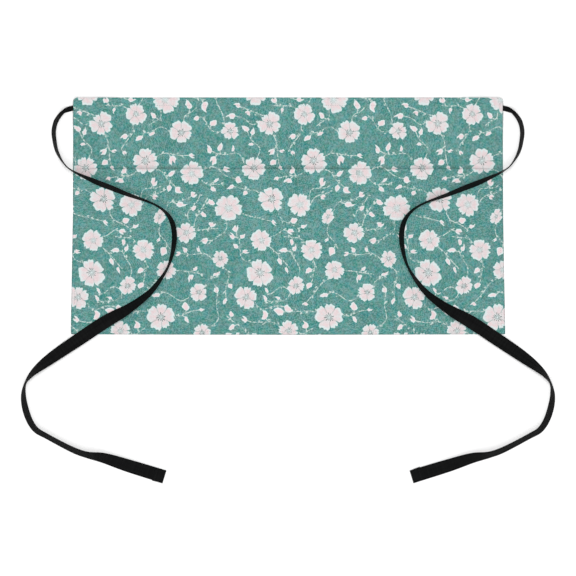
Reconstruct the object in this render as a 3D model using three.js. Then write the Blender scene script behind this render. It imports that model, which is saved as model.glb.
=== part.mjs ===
// Half waist apron lying on a table with its printed face up.
// Millimetres. +X runs across the wearer, +Y towards the waist edge, +Z up off the table.
// The origin is on the table, under the middle of the panel.
import * as THREE from 'three';

// The printed cloth, the same in the panel and the pocket.
const CLOTH = 1.2;
const HEM_WIDTH = 12;
const FOLD_STEP = 1.5;
const SEAM_GAP = 0.3;
const CLOTH_COLOUR = 0x689a94;
const CLOTH_ROUGHNESS = 0.85;

// The panel flares a little below its middle, and its lower edge bows down slightly.
const WAIST_Y = 150.9;
const LOWER_EDGE_BOW = 0.7;
const WAIST_CORNER_RADIUS = 3.5;
const HALF_WIDTHS = [
  { y: -150.9, half: 276.4 },
  { y: 0, half: 273.6 },
  { y: 150.9, half: 273.2 },
];
const PANEL_COLUMNS = 28;
const PANEL_ROWS = 6;

// Each waist corner lies over the pleated end of its tie, which raises it off the table.
const CORNER_LIFT = { height: 5.2, startX: 200, fullX: 238, startY: 90, fullY: 129 };

// One wide pocket cloth, sewn along its sides, its lower edge and the lines between its compartments.
const MOUTH_Y = 60;
const POCKET_INSET = 0.5;
const COMPARTMENTS = 3;
const SIDE_SEAM = 6;
const DIVIDER_SEAM = 3;
const POCKET_ROOM = 7;
const ROOM_ROUNDNESS = 0.75;
const FULL_ROOM_AT = 0.45;
const COMPARTMENT_COLUMNS = 12;
const POCKET_ROWS = 9;

// The ties are flat woven tape, folded in three where they are sewn on, with a turned-up free end.
const TIE_WIDTH = 17;
const TIE_THICKNESS = 1;
const TIE_PLEAT_BEND = 1.6;
const TIE_END_HEM = 13;
const TIE_TABLE_GAP = 0.2;
const TIE_CLOTH_GAP = 0.4;
// Length between sections, length over which the tape climbs an edge, and length of the loop beside
// the apron, past which the tape lies on top of the cloth.
const TIE_STEP = 11;
const TIE_EASE = 28;
const TIE_LOOP_LENGTH = 120;
const TIE_COLOUR = 0x1b1c1c;
const TIE_ROUGHNESS = 0.8;

// Course of a tie from its sewn end to its free end, the same on both sides.
// out: distance from the apron's middle line. tilt: lean of the tape off the flat, in degrees.
// pleat: how far the tape is folded in three, in degrees.
const TIE_COURSE = [
  { out: 244.5, y: 142, tilt: 0, pleat: 176 },
  { out: 279, y: 136, tilt: 2, pleat: 174 },
  { out: 286, y: 132.5, tilt: 36, pleat: 92 },
  { out: 291.5, y: 126.5, tilt: 64, pleat: 22 },
  { out: 295.5, y: 119.5, tilt: 71, pleat: 0 },
  { out: 298, y: 108, tilt: 72, pleat: 0 },
  { out: 297, y: 96, tilt: 74, pleat: 0 },
  { out: 293.5, y: 81.5, tilt: 78, pleat: 0 },
  { out: 283.5, y: 65, tilt: 87, pleat: 0 },
  { out: 275, y: 58, tilt: 86, pleat: 0 },
  { out: 244.5, y: 43.5, tilt: 71, pleat: 0 },
  { out: 224, y: 35.5, tilt: 70, pleat: 0 },
  { out: 204, y: 27.5, tilt: 75, pleat: 0 },
  { out: 172.5, y: 16, tilt: 84, pleat: 0 },
  { out: 160.5, y: 9, tilt: 82, pleat: 0 },
  { out: 152, y: 0.5, tilt: 76, pleat: 0 },
  { out: 147, y: -9, tilt: 71, pleat: 0 },
  { out: 144.5, y: -22, tilt: 69, pleat: 0 },
  { out: 145, y: -36, tilt: 71, pleat: 0 },
  { out: 148, y: -51.5, tilt: 77, pleat: 0 },
  { out: 153, y: -65.5, tilt: 82, pleat: 0 },
  { out: 162.5, y: -81, tilt: 75, pleat: 0 },
  { out: 175.5, y: -97, tilt: 66, pleat: 0 },
  { out: 200, y: -116, tilt: 49, pleat: 0 },
  { out: 233, y: -135, tilt: 18, pleat: 0 },
  { out: 267, y: -157.5, tilt: 18, pleat: 0 },
  { out: 298, y: -178.5, tilt: 32, pleat: 0 },
  { out: 315.5, y: -191.5, tilt: 51, pleat: 0 },
  { out: 326.5, y: -201.5, tilt: 69, pleat: 0 },
  { out: 334, y: -212.5, tilt: 82, pleat: 0 },
  { out: 336.5, y: -226.5, tilt: 71, pleat: 0 },
  { out: 334.5, y: -243, tilt: 63, pleat: 0 },
  { out: 328.5, y: -260.5, tilt: 63, pleat: 0 },
  { out: 320.5, y: -272, tilt: 65, pleat: 0 },
  { out: 307, y: -280, tilt: 68, pleat: 0 },
  { out: 270, y: -299, tilt: 65, pleat: 0 },
  { out: 254.5, y: -304, tilt: 62, pleat: 0 },
  { out: 235.5, y: -307.5, tilt: 43, pleat: 0 },
  { out: 203.5, y: -317.5, tilt: 20, pleat: 0 },
  { out: 158, y: -331.5, tilt: 4, pleat: 0 },
];

const { clamp, lerp, smoothstep, degToRad } = THREE.MathUtils;

// Numbers from first to last in equal steps.
function spread(first, last, steps) {
  return Array.from({ length: steps + 1 }, (_, k) => lerp(first, last, k / steps));
}

// Distance from the middle line to a side edge at height y.
function halfWidth(y) {
  const upper = Math.max(1, HALF_WIDTHS.findIndex((row) => row.y >= y));
  const [a, b] = [HALF_WIDTHS[upper - 1], HALF_WIDTHS[upper]];
  return lerp(a.half, b.half, clamp((y - a.y) / (b.y - a.y), 0, 1));
}

function lowerEdge(x) {
  return -WAIST_Y + LOWER_EDGE_BOW * (x / HALF_WIDTHS[0].half) ** 2;
}

// How far the rounded waist corners draw the side edges in at height y.
function cornerInset(y) {
  const up = Math.max(0, y - (WAIST_Y - WAIST_CORNER_RADIUS));
  return WAIST_CORNER_RADIUS - Math.sqrt(WAIST_CORNER_RADIUS ** 2 - up ** 2);
}

function cornerLift(x, y) {
  const across = smoothstep(Math.abs(x), CORNER_LIFT.startX, CORNER_LIFT.fullX);
  return CORNER_LIFT.height * across * smoothstep(y, CORNER_LIFT.startY, CORNER_LIFT.fullY);
}

// 1 on the folded hem, which follows the waist edge and the side edges above the pocket, 0 off it.
function hemmed(x, y) {
  const fromSide = halfWidth(y) - Math.abs(x);
  const fold = (inward) => 1 - smoothstep(inward, HEM_WIDTH, HEM_WIDTH + FOLD_STEP);
  const abovePocket = smoothstep(y, MOUTH_Y + FOLD_STEP, MOUTH_Y + 2 * FOLD_STEP);
  return Math.max(fold(WAIST_Y - y), fold(fromSide) * abovePocket);
}

function panelTop(x, y) {
  return cornerLift(x, y) + CLOTH * (1 + hemmed(x, y));
}

// Lines across the apron where the pocket is sewn to the panel, at height y.
function pocketSeams(y) {
  const outermost = halfWidth(y) - SIDE_SEAM;
  return spread(-outermost, outermost, COMPARTMENTS);
}

// Free height between the panel and the pocket cloth.
function pocketRoom(x, y) {
  const seams = pocketSeams(y);
  const next = clamp(seams.findIndex((seam) => seam > x), 1, COMPARTMENTS);
  const [from, to] = [seams[next - 1] + DIVIDER_SEAM / 2, seams[next] - DIVIDER_SEAM / 2];
  const across = clamp((x - from) / (to - from), 0, 1);
  const up = clamp((y - lowerEdge(x) - SIDE_SEAM) / (MOUTH_Y - lowerEdge(x) - SIDE_SEAM), 0, 1);
  const rise = Math.sin((Math.PI / 2) * Math.min(1, up / FULL_ROOM_AT));
  return POCKET_ROOM * Math.sin(Math.PI * across) ** ROOM_ROUNDNESS * rise;
}

function pocketUnderside(x, y) {
  return CLOTH + SEAM_GAP + pocketRoom(x, y);
}

// The pocket's own mouth hem is folded double.
function pocketTop(x, y) {
  const mouthHem = smoothstep(y, MOUTH_Y - HEM_WIDTH - FOLD_STEP, MOUTH_Y - HEM_WIDTH);
  return pocketUnderside(x, y) + CLOTH * (1 + mouthHem);
}

// Height of whatever a tie lies on at a point: the pocket, the panel or the table.
function topOfApron(x, y) {
  if (Math.abs(x) > halfWidth(y) || y < lowerEdge(x) || y > WAIST_Y) return 0;
  return y < MOUTH_Y ? pocketTop(x, y) : panelTop(x, y);
}

// Closed solid between two matching grids of points. Seen from the front, a row runs to the right
// and the rows follow each other upwards.
function clothSolid(front, back) {
  const rows = front.length;
  const columns = front[0].length;
  const positions = [...front.flat(), ...back.flat()].flatMap((p) => p.toArray());
  const at = (row, column) => row * columns + column;
  const behind = (index) => index + rows * columns;
  const triangles = [];
  const quad = (a, b, c, d) => triangles.push(a, b, c, a, c, d);
  for (let r = 0; r + 1 < rows; r += 1) {
    for (let c = 0; c + 1 < columns; c += 1) {
      const [a, b, d, e] = [at(r, c), at(r, c + 1), at(r + 1, c + 1), at(r + 1, c)];
      quad(a, b, d, e);
      quad(...[a, e, d, b].map(behind));
    }
  }
  const wall = (a, b) => quad(b, a, behind(a), behind(b));
  for (let c = 0; c + 1 < columns; c += 1) {
    wall(at(0, c), at(0, c + 1));
    wall(at(rows - 1, c + 1), at(rows - 1, c));
  }
  for (let r = 0; r + 1 < rows; r += 1) {
    wall(at(r + 1, 0), at(r, 0));
    wall(at(r, columns - 1), at(r + 1, columns - 1));
  }
  const geometry = new THREE.BufferGeometry();
  geometry.setAttribute('position', new THREE.Float32BufferAttribute(positions, 3));
  geometry.setIndex(triangles);
  geometry.computeVertexNormals();
  return geometry;
}

// The same grid of places with the height that a function gives each of them.
function raised(grid, height) {
  return grid.map((row) => row.map(({ x, y }) => new THREE.Vector3(x, y, height(x, y))));
}

// Places along the panel from one side edge to the other, as shares of its half width.
function panelColumns() {
  const half = HALF_WIDTHS[0].half;
  const hem = half - HEM_WIDTH;
  const inner = spread(FOLD_STEP - hem, hem - FOLD_STEP, PANEL_COLUMNS);
  return [-half, -hem, ...inner, hem, half].map((x) => x / half);
}

function panelGeometry() {
  const sideHemEnd = MOUTH_Y + FOLD_STEP;
  const waistHem = WAIST_Y - HEM_WIDTH;
  const rows = [
    ...spread(-WAIST_Y, sideHemEnd, PANEL_ROWS),
    ...spread(sideHemEnd + FOLD_STEP, waistHem - FOLD_STEP, PANEL_ROWS),
    waistHem,
    ...spread(WAIST_Y - WAIST_CORNER_RADIUS, WAIST_Y, 2),
  ];
  const grid = rows.map((y) => panelColumns().map((share) => {
    const x = share * (halfWidth(y) - cornerInset(y));
    return { x, y: Math.max(y, lowerEdge(x)) };
  }));
  return clothSolid(raised(grid, panelTop), raised(grid, cornerLift));
}

function pocketGeometry() {
  const hem = MOUTH_Y - HEM_WIDTH;
  const rows = [-WAIST_Y, ...spread(-WAIST_Y + SIDE_SEAM, hem - FOLD_STEP, POCKET_ROWS), hem, MOUTH_Y];
  const grid = rows.map((rowY) => {
    const seams = pocketSeams(rowY);
    const edge = halfWidth(rowY) - POCKET_INSET;
    const inside = seams.slice(1).flatMap((seam, k) =>
      spread(seams[k] + DIVIDER_SEAM / 2, seam - DIVIDER_SEAM / 2, COMPARTMENT_COLUMNS));
    return [-edge, ...inside, edge].map((x) => {
      const up = (rowY + WAIST_Y) / (MOUTH_Y + WAIST_Y);
      return { x, y: lerp(lowerEdge(x) + POCKET_INSET, MOUTH_Y, up) };
    });
  });
  return clothSolid(raised(grid, pocketTop), raised(grid, pocketUnderside));
}

// Section of a tie, from its lower edge to its upper one, as points on its middle surface.
// across is level, up is height, and the normal there has the length that keeps the tape's thickness.
function tieSection(tilt, pleat) {
  const third = (TIE_WIDTH - 2 * TIE_PLEAT_BEND) / 3;
  const strips = [
    { length: third, heading: tilt },
    { length: TIE_PLEAT_BEND, heading: tilt + pleat / 2 },
    { length: third, heading: tilt + pleat },
    { length: TIE_PLEAT_BEND, heading: tilt + pleat / 2 },
    { length: third, heading: tilt },
  ];
  const points = [];
  let across = 0;
  let up = 0;
  for (let k = 0; k <= strips.length; k += 1) {
    const before = degToRad(strips[Math.max(0, k - 1)].heading);
    const after = degToRad(strips[Math.min(k, strips.length - 1)].heading);
    const mitre = 1 / Math.cos((after - before) / 2);
    const middle = (before + after) / 2;
    points.push({ across, up, normalAcross: -Math.sin(middle) * mitre, normalUp: Math.cos(middle) * mitre });
    if (k < strips.length) {
      across += strips[k].length * Math.cos(after);
      up += strips[k].length * Math.sin(after);
    }
  }
  const reach = points.map((p) => p.across);
  const centre = (Math.min(...reach) + Math.max(...reach)) / 2;
  const low = Math.min(...points.map((p) => p.up - (TIE_THICKNESS / 2) * Math.abs(p.normalUp)));
  return points.map((p) => ({ ...p, across: p.across - centre, up: p.up - low }));
}

// Places along a tie: where each section stands, which way its upper edge leans, and its points.
function tieSections(side) {
  const places = TIE_COURSE.map((row) => new THREE.Vector3(side * row.out, row.y, 0));
  const course = new THREE.CatmullRomCurve3(places, false, 'centripetal');
  const shapes = TIE_COURSE.map((row) => new THREE.Vector3(row.tilt, row.pleat, 0));
  const shape = new THREE.CatmullRomCurve3(shapes, false, 'catmullrom', 0.5);
  const length = course.getLength();
  const hemStart = length - TIE_END_HEM;
  const plainSteps = Math.round(hemStart / TIE_STEP);
  const runs = [...spread(0, hemStart - FOLD_STEP, plainSteps), hemStart, length];
  return runs.map((run) => {
    const t = course.getUtoTmapping(run / length);
    const centre = course.getPoint(t);
    const heading = course.getTangent(t);
    const lean = new THREE.Vector3(side * heading.y, -side * heading.x, 0).normalize();
    const { x: tilt, y: pleat } = shape.getPoint(t);
    const points = tieSection(Math.max(0, tilt), clamp(pleat, 0, TIE_COURSE[0].pleat));
    return { run, centre, lean, points, hemLayers: run >= hemStart ? 1 : 0 };
  });
}

// Height of each section's lowest line, eased so that the tape climbs onto the cloth and off it gently.
function tieHeights(sections) {
  const needed = sections.map(({ run, centre, lean, points }) => {
    if (run < TIE_LOOP_LENGTH) return TIE_TABLE_GAP;
    const lifts = points.map((p) => {
      const under = centre.clone().addScaledVector(lean, p.across);
      const top = topOfApron(under.x, under.y);
      return top > 0 ? top + TIE_CLOTH_GAP - p.up + points[0].up : TIE_TABLE_GAP;
    });
    return Math.max(TIE_TABLE_GAP, ...lifts);
  });
  const near = (k) => sections.map((_, j) => j).filter((j) =>
    Math.abs(sections[j].run - sections[k].run) <= TIE_EASE);
  const highest = sections.map((_, k) => Math.max(...near(k).map((j) => needed[j])));
  return sections.map((_, k) => {
    const around = near(k);
    return around.reduce((sum, j) => sum + highest[j], 0) / around.length;
  });
}

function tieGeometry(side) {
  const sections = tieSections(side);
  const heights = tieHeights(sections);
  const face = (offset) => sections.map(({ centre, lean, points, hemLayers }, k) => {
    const row = points.map((p) => {
      const out = offset * (TIE_THICKNESS / 2) + (offset > 0 ? hemLayers * TIE_THICKNESS : 0);
      const place = centre.clone().addScaledVector(lean, p.across + out * p.normalAcross);
      place.z = heights[k] + p.up + out * p.normalUp;
      return place;
    });
    return side < 0 ? row.reverse() : row;
  });
  return clothSolid(face(1), face(-1));
}

function piece(name, geometry, color, roughness) {
  const mesh = new THREE.Mesh(geometry, new THREE.MeshStandardMaterial({ color, roughness, metalness: 0 }));
  mesh.name = name;
  return mesh;
}

const apron = new THREE.Group();
apron.add(piece('panel', panelGeometry(), CLOTH_COLOUR, CLOTH_ROUGHNESS));
apron.add(piece('pocket', pocketGeometry(), CLOTH_COLOUR, CLOTH_ROUGHNESS));
apron.add(piece('tie_left', tieGeometry(-1), TIE_COLOUR, TIE_ROUGHNESS));
apron.add(piece('tie_right', tieGeometry(1), TIE_COLOUR, TIE_ROUGHNESS));

export default apron;
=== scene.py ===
# %% [markdown]
# # A half waist apron, laid flat
# The apron is one printed cloth with a wide pocket sewn on its lower part and a black tape tie at each
# waist corner. The packed model gives its frame: plain solids at their real size. Here each solid is
# replaced by what a sewer would recognise: cloth with turned hems, tape that lies as loose tape lies, and
# thread. The frame is loaded first.

# %% Load the frame
import math

import bpy
import numpy as np
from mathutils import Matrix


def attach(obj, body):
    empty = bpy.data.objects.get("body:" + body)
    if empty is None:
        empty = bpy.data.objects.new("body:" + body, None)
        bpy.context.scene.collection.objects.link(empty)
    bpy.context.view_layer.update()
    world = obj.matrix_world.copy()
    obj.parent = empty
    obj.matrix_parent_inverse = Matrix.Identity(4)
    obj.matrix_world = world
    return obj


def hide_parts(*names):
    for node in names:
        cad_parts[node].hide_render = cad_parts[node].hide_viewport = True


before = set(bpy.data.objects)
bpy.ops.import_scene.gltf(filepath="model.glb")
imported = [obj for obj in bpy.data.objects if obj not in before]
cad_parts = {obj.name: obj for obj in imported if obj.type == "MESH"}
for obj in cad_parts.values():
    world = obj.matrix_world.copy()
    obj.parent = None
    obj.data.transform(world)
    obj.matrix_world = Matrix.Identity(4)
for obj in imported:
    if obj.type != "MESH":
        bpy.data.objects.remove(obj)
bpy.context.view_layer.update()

bpy.ops.object.select_all(action="DESELECT")
print("frame nodes:", sorted(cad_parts))

# %% [markdown]
# ## The camera
# The photograph looks straight down on the apron. Tape that stands on its edge would look wider through a
# short lens, because its upper edge is nearer to the lens, so a long lens high above the table is used. An
# orthographic camera would do the same from above, but other views are better with some perspective.

# %% Place the camera
PICTURE_WIDTH = 0.733
PICTURE_MIDDLE = (0.0, -0.0915)
LENS = 1000.0
SENSOR = 36.0

camera_height = PICTURE_WIDTH * LENS / SENSOR
bpy.ops.object.camera_add(location=(*PICTURE_MIDDLE, camera_height), rotation=(0, 0, 0))
camera = bpy.context.object
camera.name = "camera_above"
camera.data.lens = LENS
camera.data.sensor_width = SENSOR
bpy.context.scene.camera = camera
print(f"camera {camera_height:.2f} m above the table")

# %% [markdown]
# ## How the cloth lies
# Panel and pocket are cut from the same cloth. A hem lifts the edge by one layer, a pocket seam by another,
# and the folded ends of the ties lift the two waist corners. These heights could be left to a cloth
# simulation, but cloth that lies flat on a table needs only small rises in the right places, so they are
# written as functions of the place on the table. All that rests on the cloth asks the same functions.

# %% Outline of the panel
WAIST_Y = 0.1509
LOWER_EDGE_BOW = 0.0007
WAIST_CORNER_RADIUS = 0.0035
SIDE_HEIGHTS = (-WAIST_Y, 0.0, WAIST_Y)
HALF_WIDTHS = (0.2764, 0.2736, 0.2732)
MOUTH_Y = 0.0600


def smooth(value, low, high):
    """0 below low, 1 above high, and an even S between them."""
    share = np.clip((value - low) / (high - low), 0, 1)
    return share * share * (3 - 2 * share)


def half_width(y):
    return np.interp(y, SIDE_HEIGHTS, HALF_WIDTHS)


def lower_edge(x):
    return -WAIST_Y + LOWER_EDGE_BOW * (x / HALF_WIDTHS[0]) ** 2


def corner_inset(y):
    """How far a rounded waist corner draws the side edge in."""
    up = np.clip(y - (WAIST_Y - WAIST_CORNER_RADIUS), 0, WAIST_CORNER_RADIUS)
    return WAIST_CORNER_RADIUS - np.sqrt(WAIST_CORNER_RADIUS ** 2 - up ** 2)


def from_edge(x, y, top):
    """Distance in from the nearest edge of a cloth whose upper edge is at top."""
    return np.minimum.reduce([half_width(y) - np.abs(x), top - y, y - lower_edge(x)])


print(f"panel {2 * half_width(-WAIST_Y):.3f} m wide and {2 * WAIST_Y:.3f} m high")

# %% Height of the panel
CLOTH = 0.0007
LAYER = 0.0009
REST = 0.0006
HEM = 0.012
HEM_STITCH = 0.010
HEM_CLEAR = 0.0026
STEP = 0.004
PUCKER = 0.00012
PUCKER_WAVE = 0.011
PUCKER_BAND = 0.007
PUCKER_DRIFT = 2.5
PUCKER_DRIFT_RATE = 47
MITRE = 0.010
RIPPLE = 0.00022
# Radians for each metre across and up the cloth, and at its middle, of three slow waves.
RIPPLE_WAVES = ((41, 12, 0.0), (-9, 57, 1.1), (24, -33, 2.0))
TIE_SEWN_FROM = np.array([0.2445, 0.142])
TIE_SEWN_TO = np.array([0.279, 0.136])
CORNER_LIFT = 0.0041
LIFT_FLAT = 0.005
LIFT_REACH = 0.042


def corner_lift(x, y):
    """The waist corner drapes over the folded end of its tie."""
    along = TIE_SEWN_TO - TIE_SEWN_FROM
    across, up = np.abs(x) - TIE_SEWN_FROM[0], y - TIE_SEWN_FROM[1]
    share = np.clip((across * along[0] + up * along[1]) / (along @ along), 0, 1)
    distance = np.hypot(across - share * along[0], up - share * along[1])
    return CORNER_LIFT * (1 - smooth(distance, LIFT_FLAT, LIFT_REACH))


def ripple(x, y):
    """Slow waves that are left in cloth that was folded and laid out by hand."""
    first, second, third = (np.sin(across * x + up * y + start) for across, up, start in RIPPLE_WAVES)
    return RIPPLE * (2 + first * second + third)


def pucker(x, y, top):
    """Small waves that the thread draws into a hem, none where two hems meet in a mitre."""
    from_side, from_ends = half_width(y) - np.abs(x), np.minimum(top - y, y - lower_edge(x))
    along = np.where(from_side <= from_ends, y, x)
    drift = PUCKER_DRIFT * np.sin(PUCKER_DRIFT_RATE * along)
    wave = np.sin(2 * np.pi * along / PUCKER_WAVE + drift)
    band = np.exp(-((np.minimum(from_side, from_ends) - HEM_STITCH) / PUCKER_BAND) ** 2)
    return PUCKER * wave * band * smooth(np.abs(from_side - from_ends), 0, MITRE)


def panel_height(x, y):
    """Middle of the panel's upper layer."""
    hem = 1 - smooth(from_edge(x, y, WAIST_Y) - HEM, HEM_CLEAR, HEM_CLEAR + STEP)
    return REST + LAYER * hem + corner_lift(x, y) + ripple(x, y) + pucker(x, y, WAIST_Y)


corner_top, middle_top = (1000 * panel_height(*place) for place in (TIE_SEWN_FROM, (0, MOUTH_Y)))
print(f"waist corner {corner_top:.1f} mm high, middle {middle_top:.1f} mm")

# %% Height of the pocket
POCKET_INSET = 0.0005
TURNED_IN = 0.008
COMPARTMENTS = 3
SIDE_SEAM = 0.006
DIVIDER_SEAM = 0.003
POCKET_ROOM = 0.007
ROOM_ROUNDNESS = 0.75
FULL_ROOM_AT = 0.45
LAST_PLACE = 0.9999
DRAG_FOLD = 0.0007
DRAG_REACH = 0.022
DRAG_START = (0.003, 0.010)
FOLDS_IN_A_TURN = 6
FAN_ABOVE_MOUTH = 0.004


def seam_pitch(y):
    """Width of a compartment between its seams."""
    return 2 * (half_width(y) - SIDE_SEAM) / COMPARTMENTS


def pocket_room(x, y):
    """Free height between the panel and the pocket cloth, which stands open towards its mouth."""
    pitch = seam_pitch(y)
    place = np.clip(x + half_width(y) - SIDE_SEAM, 0, COMPARTMENTS * pitch * LAST_PLACE) % pitch
    across = np.clip((place - DIVIDER_SEAM / 2) / (pitch - DIVIDER_SEAM), 0, 1)
    foot = lower_edge(x) + SIDE_SEAM
    up = np.clip((y - foot) / (MOUTH_Y - foot), 0, 1)
    rise = np.sin(np.pi / 2 * np.minimum(1, up / FULL_ROOM_AT))
    return POCKET_ROOM * np.sin(np.pi * across) ** ROOM_ROUNDNESS * rise


def drag_folds(x, y):
    """Short folds that fan out below the upper ends of the divider seams."""
    folds = np.zeros_like(x + y)
    for side in (-1, 1):
        out, down = x - side * seam_pitch(MOUTH_Y) / 2, MOUTH_Y - y
        away = np.hypot(out, down)
        fan = np.cos(FOLDS_IN_A_TURN * np.arctan2(out, down + FAN_ABOVE_MOUTH))
        folds += DRAG_FOLD * smooth(away, *DRAG_START) * np.exp(-away / DRAG_REACH) * (1 + fan) / 2
    return folds


def pocket_height(x, y):
    """Middle of the pocket's upper layer."""
    turned = 1 - smooth(from_edge(x, y, MOUTH_Y + HEM) - TURNED_IN, HEM_CLEAR, HEM_CLEAR + STEP)
    mouth_hem = 1 - smooth(MOUTH_Y - HEM - y, HEM_CLEAR, HEM_CLEAR + STEP)
    layers = 1 + np.maximum(turned, mouth_hem)
    return panel_height(x, y) + LAYER * layers + pocket_room(x, y) + drag_folds(x, y)


def top_of_apron(x, y):
    """Height of what a tie lies on, 0 where that is the table."""
    on_panel = (np.abs(x) < half_width(y)) & (y > lower_edge(x)) & (y < WAIST_Y)
    top = np.where(y < MOUTH_Y, pocket_height(x, y), panel_height(x, y)) + CLOTH / 2
    return np.where(on_panel, top, 0)


print(f"pocket stands {1000 * pocket_height(0, MOUTH_Y / 2):.1f} mm high below the middle of its mouth")

# %% [markdown]
# ## The ties
# Each tie is a flat woven tape, folded in three where it is sewn under the waist corner. It loops out,
# opens, and then lies across the apron, now flat, now on its edge. A curve with a flat bevel could make it,
# but a curve can't be folded in three at one end. So the tape is a grid: rows along the course, columns
# across the tape. The course and the lean of the tape at each place are the ones that the solids follow.

# %% Course of a tie
# Distance from the apron's middle line, height on the table, lean off the flat and fold in three (degrees).
TIE_COURSE = np.array([
    (0.2445, 0.1420, 0, 176), (0.2790, 0.1360, 2, 174), (0.2860, 0.1325, 36, 92), (0.2915, 0.1265, 64, 22),
    (0.2955, 0.1195, 71, 0), (0.2980, 0.1080, 72, 0), (0.2970, 0.0960, 74, 0), (0.2935, 0.0815, 78, 0),
    (0.2835, 0.0650, 87, 0), (0.2750, 0.0580, 86, 0), (0.2445, 0.0435, 71, 0), (0.2240, 0.0355, 70, 0),
    (0.2040, 0.0275, 75, 0), (0.1725, 0.0160, 84, 0), (0.1605, 0.0090, 82, 0), (0.1520, 0.0005, 76, 0),
    (0.1470, -0.0090, 71, 0), (0.1445, -0.0220, 69, 0), (0.1450, -0.0360, 71, 0), (0.1480, -0.0515, 77, 0),
    (0.1530, -0.0655, 82, 0), (0.1625, -0.0810, 75, 0), (0.1755, -0.0970, 66, 0), (0.2000, -0.1160, 49, 0),
    (0.2330, -0.1350, 18, 0), (0.2670, -0.1575, 18, 0), (0.2980, -0.1785, 32, 0), (0.3155, -0.1915, 51, 0),
    (0.3265, -0.2015, 69, 0), (0.3340, -0.2125, 82, 0), (0.3365, -0.2265, 71, 0), (0.3345, -0.2430, 63, 0),
    (0.3285, -0.2605, 63, 0), (0.3205, -0.2720, 65, 0), (0.3070, -0.2800, 68, 0), (0.2700, -0.2990, 65, 0),
    (0.2545, -0.3040, 62, 0), (0.2355, -0.3075, 43, 0), (0.2035, -0.3175, 20, 0), (0.1580, -0.3315, 4, 0),
])
POINTS_PER_SPAN = 24


def through(rows):
    """A centripetal Catmull-Rom curve through rows whose first two columns are a place."""
    ends = np.vstack([2 * rows[0] - rows[1], rows, 2 * rows[-1] - rows[-2]])
    spans = []
    for a, b, c, d in zip(ends, ends[1:], ends[2:], ends[3:]):
        gaps = [np.linalg.norm((q - p)[:2]) ** 0.5 for p, q in ((a, b), (b, c), (c, d))]
        t0, t1, t2, t3 = np.cumsum([0, *gaps])
        t = np.linspace(t1, t2, POINTS_PER_SPAN, endpoint=False)[:, None]
        ab = ((t1 - t) * a + (t - t0) * b) / (t1 - t0)
        bc = ((t2 - t) * b + (t - t1) * c) / (t2 - t1)
        cd = ((t3 - t) * c + (t - t2) * d) / (t3 - t2)
        abc = ((t2 - t) * ab + (t - t0) * bc) / (t2 - t0)
        bcd = ((t3 - t) * bc + (t - t1) * cd) / (t3 - t1)
        spans.append(((t2 - t) * abc + (t - t1) * bcd) / (t2 - t1))
    return np.vstack([*spans, rows[-1]])


course = through(TIE_COURSE)
course_run = np.concatenate([[0], np.cumsum(np.hypot(*np.diff(course[:, :2], axis=0).T))])
tie_length = course_run[-1]
print(f"each tie is {1000 * tie_length:.0f} mm long from its sewn end")

# %% Section of a tie
TAPE_WIDTH = 0.017
TAPE = 0.0008
FOLD_ARC = 0.0025
TAPE_COLUMNS = 36


def folded_back(place):
    """1 on the middle third of a tape that is folded in three, 0 on the outer thirds."""
    third = (TAPE_WIDTH - 2 * FOLD_ARC) / 3
    first_fold = smooth(place, third, third + FOLD_ARC)
    return first_fold - smooth(place, TAPE_WIDTH - third - FOLD_ARC, TAPE_WIDTH - third)


def tape_section(tilt, pleat):
    """Across, up and heading of the tape's middle surface, one row for each place along the tie."""
    width = np.linspace(0, TAPE_WIDTH, TAPE_COLUMNS + 1)
    middle = (width[1:] + width[:-1]) / 2
    heading = np.radians(tilt[:, None] + pleat[:, None] * folded_back(width))
    strip = np.radians(tilt[:, None] + pleat[:, None] * folded_back(middle))
    step = TAPE_WIDTH / TAPE_COLUMNS
    start = np.zeros((len(tilt), 1))
    across = np.hstack([start, np.cumsum(step * np.cos(strip), axis=1)])
    up = np.hstack([start, np.cumsum(step * np.sin(strip), axis=1)])
    across -= (across.min(axis=1, keepdims=True) + across.max(axis=1, keepdims=True)) / 2
    up -= (up - TAPE / 2 * np.abs(np.cos(heading))).min(axis=1, keepdims=True)
    return across, up, heading


folded_width = np.ptp(tape_section(np.zeros(1), TIE_COURSE[:1, 3])[0])
print(f"tape folded in three is {1000 * folded_width:.1f} mm wide")

# %% Rows of a tie
TAPE_STEP = 0.0025
TABLE_GAP = 0.0002
CLOTH_GAP = 0.0003
LOOP_LENGTH = 0.12
EASE = 0.028
END_HEM = 0.013
END_TURN = 0.0005
TURN_ROWS = 6
HEM_ROWS = 5
HEM_SKEW = {-1: -0.0004, 1: 0.0010}
LOOK_AHEAD = 0.001
UPRIGHT = 90


def eased(run, needed):
    """The height that lies on every needed one and changes slowly along the tie."""
    near = np.abs(run[:, None] - run[None, :]) <= EASE
    highest = np.where(near, needed[None, :], 0).max(axis=1)
    return (near * highest[None, :]).sum(axis=1) / near.sum(axis=1)


def tape_rows():
    """Run, reach past it and lift off the tape for each row: the tape, its turned end and the end's hem."""
    plain = np.linspace(0, tie_length, round(tie_length / TAPE_STEP) + 1)
    turn = np.linspace(0, np.pi, TURN_ROWS + 1)[1:]
    back = tie_length - np.linspace(0, END_HEM, HEM_ROWS + 1)[1:]
    run = np.concatenate([plain, np.full(TURN_ROWS, tie_length), back])
    reach = np.concatenate([0 * plain, END_TURN * np.sin(turn), 0 * back])
    lift = np.concatenate([0 * plain, END_TURN * (1 - np.cos(turn)), 0 * back + 2 * END_TURN])
    return run, reach, lift


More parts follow.
